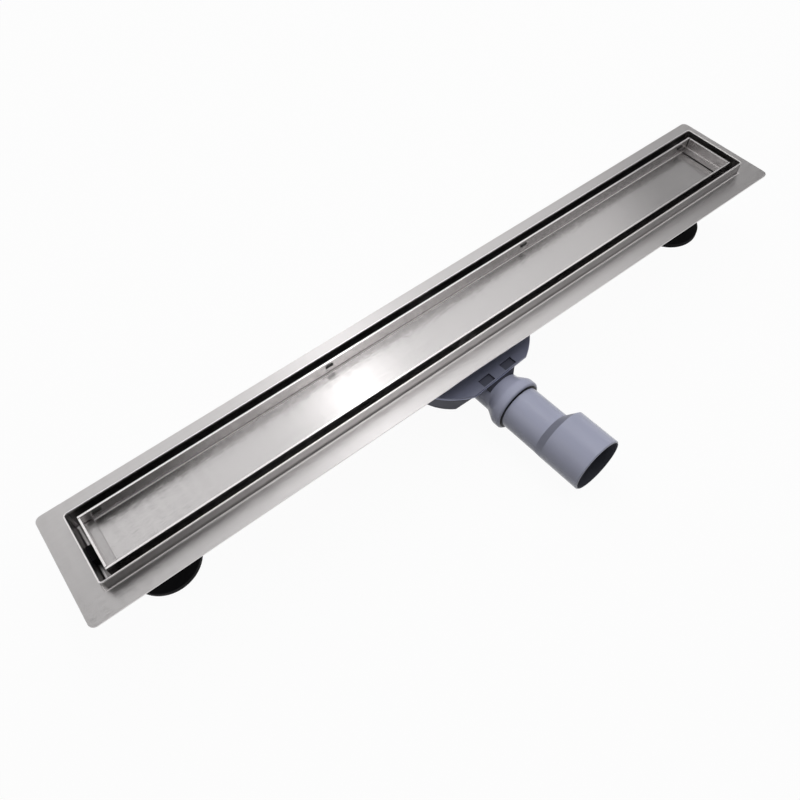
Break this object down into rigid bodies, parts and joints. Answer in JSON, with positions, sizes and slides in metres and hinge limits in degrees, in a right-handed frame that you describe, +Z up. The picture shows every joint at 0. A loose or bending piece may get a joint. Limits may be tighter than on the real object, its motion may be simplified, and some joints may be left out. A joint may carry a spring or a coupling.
{
  "type": "linear shower drain",
  "caption": "Long tile-in shower drain: flanged steel channel with a raised frame and a tile tray, on adjustable feet, over a low trap with a side outlet and an adapter pipe.",
  "frame": {"origin": "middle of the channel, level with the flange's top face", "axes": "+X along the channel, -Y towards the outlet, +Z up"},
  "size_m": [0.7, 0.2221, 0.0815],
  "materials": {
    "channel_steel": "long-grain brushed stainless steel",
    "tray_steel": "long-grain brushed stainless steel",
    "fitting_steel": "plain bright stainless steel",
    "zinc_steel": "bright zinc plate",
    "trap_plastic": "satin moulded, blue grey",
    "pipe_plastic": "satin extruded, blue grey",
    "insert_plastic": "satin moulded, light grey",
    "seal_rubber": "soft matte black",
    "foot_rubber": "hard satin black"
  },
  "bodies": {
    "root": {"channel_body": "channel_steel", "tile_tray": "tray_steel", "tray_end_left": "tray_steel", "tray_end_right": "tray_steel", "tray_spacer_left": "seal_rubber", "tray_spacer_right": "seal_rubber", "tray_support_left": "fitting_steel", "tray_support_right": "fitting_steel", "clamp_ring": "fitting_steel", "clamp_screws": "fitting_steel", "outlet_gasket": "seal_rubber", "trap_lid": "trap_plastic", "trap_bowl": "trap_plastic", "socket_seal": "seal_rubber", "adapter_pipe": "pipe_plastic", "trap_cup": "insert_plastic", "dip_tube": "insert_plastic", "cup_o_ring": "seal_rubber", "hair_strainer": "fitting_steel", "foot_pad_left": "foot_rubber", "foot_rod_left": "zinc_steel", "foot_boss_left": "zinc_steel", "foot_nut_left": "zinc_steel", "foot_pad_right": "foot_rubber", "foot_rod_right": "zinc_steel", "foot_boss_right": "zinc_steel", "foot_nut_right": "zinc_steel"}
  },
  "joints": []
}
